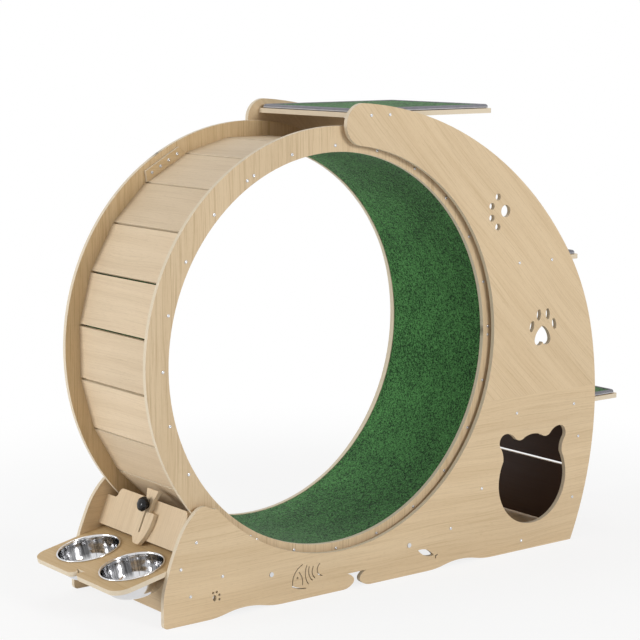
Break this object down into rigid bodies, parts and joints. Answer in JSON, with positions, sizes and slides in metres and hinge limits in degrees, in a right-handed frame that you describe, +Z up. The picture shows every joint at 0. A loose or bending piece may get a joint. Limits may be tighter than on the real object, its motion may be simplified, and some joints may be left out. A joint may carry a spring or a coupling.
{
  "type": "cat exercise wheel",
  "caption": "Plywood cat exercise wheel on grooved rollers, with feeding tray and steel bowls, brake slide, carpeted steps, top platform and a sleeping cave",
  "frame": {"origin": "middle of the object's footprint, on the floor", "axes": "+X to the right, from the feeding tray to the steps; +Y to the rear, along the wheel's axle; +Z up"},
  "size_m": [1.627, 0.435, 1.2101],
  "materials": {
    "oak_ply": "satin",
    "green_carpet": "short pile",
    "zinc_steel": "zinc plated",
    "roller_plastic": "matte",
    "bowl_steel": "polished",
    "black_plastic": "gloss"
  },
  "bodies": {
    "frame": {"cave_end_wall_lower": "oak_ply", "cave_end_wall_upper": "oak_ply", "cave_floor": "oak_ply", "cave_inner_wall": "oak_ply", "feeder_cross_board": "oak_ply", "feeder_tray": "oak_ply", "frame_screws": "zinc_steel", "front_lower_panel": "oak_ply", "front_upper_panel": "oak_ply", "left_cross_board": "oak_ply", "lock_board": "oak_ply", "lock_bolt": "zinc_steel", "lower_step": "oak_ply", "lower_step_pad": "green_carpet", "panel_joint_plates": "oak_ply", "rear_lower_panel": "oak_ply", "rear_upper_panel": "oak_ply", "right_cross_board": "oak_ply", "roller_axles": "zinc_steel", "top_platform": "oak_ply", "top_platform_pad": "green_carpet", "upper_step": "oak_ply", "upper_step_pad": "green_carpet"},
    "wheel": {"front_ring": "oak_ply", "rear_ring": "oak_ply", "ring_splice_plates": "oak_ply", "running_carpet": "green_carpet", "ring_screws": "zinc_steel", "slat_01": "oak_ply", "slat_02": "oak_ply", "slat_03": "oak_ply", "slat_04": "oak_ply", "slat_05": "oak_ply", "slat_06": "oak_ply", "slat_07": "oak_ply", "slat_08": "oak_ply", "slat_09": "oak_ply", "slat_10": "oak_ply", "slat_11": "oak_ply", "slat_12": "oak_ply", "slat_13": "oak_ply", "slat_14": "oak_ply", "slat_15": "oak_ply", "slat_16": "oak_ply", "slat_17": "oak_ply", "slat_18": "oak_ply", "slat_19": "oak_ply", "slat_20": "oak_ply", "slat_21": "oak_ply", "slat_22": "oak_ply", "slat_23": "oak_ply", "slat_24": "oak_ply"},
    "lock_slide": {"lock_slide": "oak_ply"},
    "lock_knob": {"lock_knob": "black_plastic"},
    "front_bowl": {"front_bowl": "bowl_steel"},
    "rear_bowl": {"rear_bowl": "bowl_steel"},
    "front_left_roller": {"front_left_roller": "roller_plastic"},
    "front_right_roller": {"front_right_roller": "roller_plastic"},
    "rear_left_roller": {"rear_left_roller": "roller_plastic"},
    "rear_right_roller": {"rear_right_roller": "roller_plastic"}
  },
  "joints": [
    {"name": "wheel_spin", "type": "hinge", "parent": "frame", "child": "wheel", "pos_m": [-0.168, 0, 0.6064], "axis": [0, 1, 0], "continuous": true},
    {"name": "front_left_roller_spin", "type": "hinge", "parent": "frame", "child": "front_left_roller", "pos_m": [-0.38518, -0.184, 0.0795], "axis": [0, 1, 0], "continuous": true},
    {"name": "front_right_roller_spin", "type": "hinge", "parent": "frame", "child": "front_right_roller", "pos_m": [0.04917, -0.184, 0.0795], "axis": [0, 1, 0], "continuous": true},
    {"name": "rear_left_roller_spin", "type": "hinge", "parent": "frame", "child": "rear_left_roller", "pos_m": [-0.38518, 0.184, 0.0795], "axis": [0, 1, 0], "continuous": true},
    {"name": "rear_right_roller_spin", "type": "hinge", "parent": "frame", "child": "rear_right_roller", "pos_m": [0.04917, 0.184, 0.0795], "axis": [0, 1, 0], "continuous": true},
    {"name": "brake_travel", "type": "slide", "parent": "frame", "child": "lock_slide", "axis": [0.3939, 0, 0.9191], "range_m": [0, 0.011]},
    {"name": "knob_turn", "type": "hinge", "parent": "frame", "child": "lock_knob", "pos_m": [-0.60025, 0, 0.2416], "axis": [-0.9191, 0, 0.3939], "range_deg": [0, 360]},
    {"name": "front_bowl_lift", "type": "slide", "parent": "frame", "child": "front_bowl", "axis": [-0.2079, 0, 0.9781], "range_m": [0, 0.08]},
    {"name": "rear_bowl_lift", "type": "slide", "parent": "frame", "child": "rear_bowl", "axis": [-0.2079, 0, 0.9781], "range_m": [0, 0.08]}
  ],
  "couplings": [
    {"joint": "front_left_roller_spin", "follows": "wheel_spin", "ratio": -28.061},
    {"joint": "front_right_roller_spin", "follows": "wheel_spin", "ratio": -28.061},
    {"joint": "rear_left_roller_spin", "follows": "wheel_spin", "ratio": -28.061},
    {"joint": "rear_right_roller_spin", "follows": "wheel_spin", "ratio": -28.061}
  ]
}
